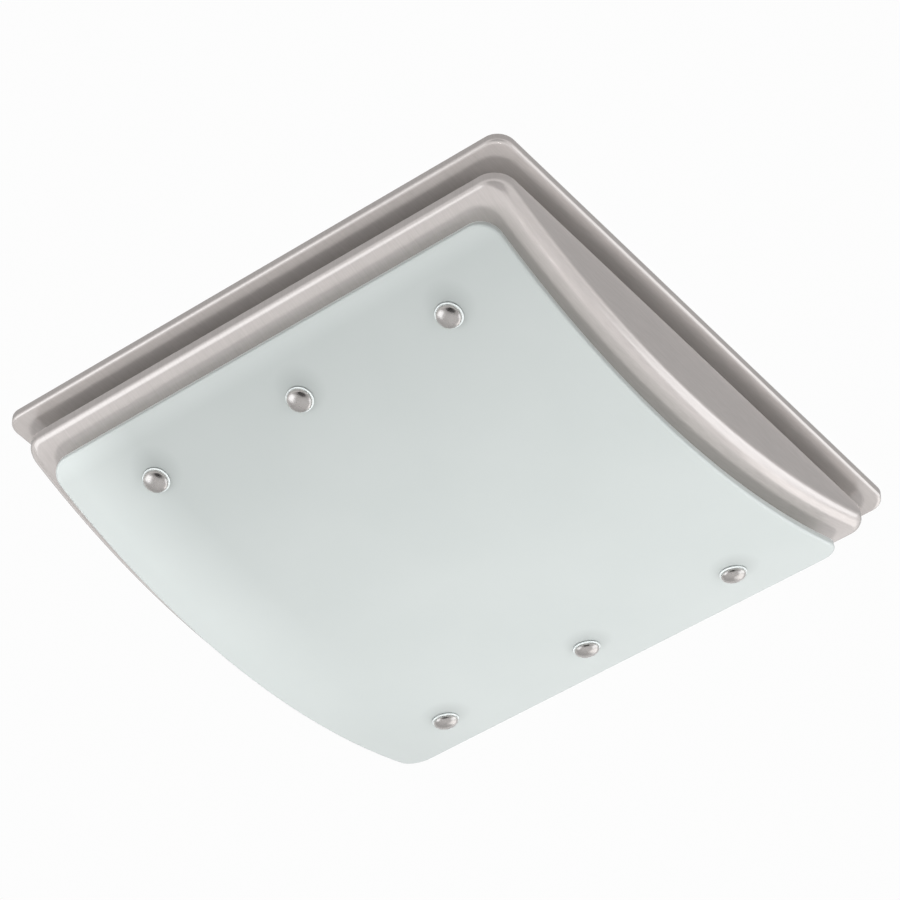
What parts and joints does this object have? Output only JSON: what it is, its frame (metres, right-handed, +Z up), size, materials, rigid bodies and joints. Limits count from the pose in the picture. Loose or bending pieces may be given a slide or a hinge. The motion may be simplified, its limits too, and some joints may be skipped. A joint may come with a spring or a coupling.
{
  "type": "bathroom fan with light",
  "caption": "Ceiling bathroom fan with a light: square brushed trim plate, arched frame with a bent glass panel on domed knobs, and a blower housing with duct collar.",
  "frame": {"origin": "centre of the trim plate's rim in the ceiling plane", "axes": "+Z up into the ceiling, X along the glass's straight lines, Y along its arch; the duct leaves along +X"},
  "size_m": [0.4, 0.4, 0.2726],
  "materials": {
    "brushed_nickel": "brushed, straight grain",
    "polished_nickel": "polished",
    "frosted_glass": "frosted on one side, slightly green",
    "clear_washer": "clear",
    "white_enamel": "satin white",
    "opal_glass": "opal white",
    "cap_metal": "satin",
    "galvanised_steel": "spangled zinc coat",
    "spring_steel": "drawn wire",
    "lamination_steel": "stacked sheet edges",
    "coil_wrap": "varnished tape",
    "shaft_steel": "ground",
    "wheel_plastic": "moulded",
    "dark_plastic": "moulded"
  },
  "bodies": {
    "housing": {"housing": "galvanised_steel", "spring_bracket_1": "galvanised_steel", "spring_bracket_2": "galvanised_steel", "mounting_spring_1": "spring_steel", "mounting_spring_2": "spring_steel", "duct_collar": "galvanised_steel", "damper_pin": "shaft_steel", "blower_plate": "galvanised_steel", "scroll": "galvanised_steel", "scroll_cover": "galvanised_steel", "motor_stator": "lamination_steel", "motor_coil": "coil_wrap", "bearing_strap_upper": "shaft_steel", "bearing_strap_lower": "shaft_steel", "motor_post_1": "shaft_steel", "motor_post_2": "shaft_steel", "wiring_box": "galvanised_steel", "wiring_cover": "galvanised_steel", "socket_1": "dark_plastic", "socket_2": "dark_plastic", "cable_clamp": "galvanised_steel"},
    "trim": {"trim_plate": "brushed_nickel", "light_frame": "brushed_nickel", "reflector_pan": "white_enamel", "standoff_1": "galvanised_steel", "standoff_2": "galvanised_steel", "standoff_3": "galvanised_steel", "standoff_4": "galvanised_steel", "glass_panel": "frosted_glass", "stud_1": "polished_nickel", "stud_2": "polished_nickel", "stud_3": "polished_nickel", "stud_4": "polished_nickel", "stud_5": "polished_nickel", "stud_6": "polished_nickel", "washer_1": "clear_washer", "washer_2": "clear_washer", "washer_3": "clear_washer", "washer_4": "clear_washer", "washer_5": "clear_washer", "washer_6": "clear_washer", "lamp_bulb_1": "opal_glass", "lamp_bulb_2": "opal_glass", "lamp_cap_1": "cap_metal", "lamp_cap_2": "cap_metal", "lamp_holder_1": "white_enamel", "lamp_holder_2": "white_enamel", "lamp_bracket_1": "white_enamel", "lamp_bracket_2": "white_enamel"},
    "blower": {"blower_wheel": "wheel_plastic", "motor_rotor": "shaft_steel", "motor_shaft": "shaft_steel"},
    "damper": {"damper_flap": "galvanised_steel"},
    "knob_1": {"knob_1": "polished_nickel"},
    "knob_2": {"knob_2": "polished_nickel"},
    "knob_3": {"knob_3": "polished_nickel"},
    "knob_4": {"knob_4": "polished_nickel"},
    "knob_5": {"knob_5": "polished_nickel"},
    "knob_6": {"knob_6": "polished_nickel"}
  },
  "joints": [
    {"name": "trim_drop", "type": "slide", "parent": "housing", "child": "trim", "axis": [0, 0, -1], "range_m": [0, 0.06], "stiffness_N_per_m": 1500, "springref_m": -0.06, "deforming": ["mounting_spring_1", "mounting_spring_2"]},
    {"name": "blower_spin", "type": "hinge", "parent": "housing", "child": "blower", "pos_m": [-0.02, 0.014, 0.15], "axis": [0, 0, 1], "continuous": true},
    {"name": "damper_swing", "type": "hinge", "parent": "housing", "child": "damper", "pos_m": [0.1773, -0.064, 0.1295], "axis": [0, -1, 0], "range_deg": [0, 60]},
    {"name": "knob_turn_1", "type": "hinge", "parent": "trim", "child": "knob_1", "pos_m": [-0.1167, -0.14369, -0.06158], "axis": [0, -0.3033, -0.9529], "continuous": true},
    {"name": "knob_turn_2", "type": "hinge", "parent": "trim", "child": "knob_2", "pos_m": [0, -0.14369, -0.06158], "axis": [0, -0.3033, -0.9529], "continuous": true},
    {"name": "knob_turn_3", "type": "hinge", "parent": "trim", "child": "knob_3", "pos_m": [0.1167, -0.14369, -0.06158], "axis": [0, -0.3033, -0.9529], "continuous": true},
    {"name": "knob_turn_4", "type": "hinge", "parent": "trim", "child": "knob_4", "pos_m": [-0.1167, 0.14369, -0.06158], "axis": [0, 0.3033, -0.9529], "continuous": true},
    {"name": "knob_turn_5", "type": "hinge", "parent": "trim", "child": "knob_5", "pos_m": [0, 0.14369, -0.06158], "axis": [0, 0.3033, -0.9529], "continuous": true},
    {"name": "knob_turn_6", "type": "hinge", "parent": "trim", "child": "knob_6", "pos_m": [0.1167, 0.14369, -0.06158], "axis": [0, 0.3033, -0.9529], "continuous": true}
  ]
}
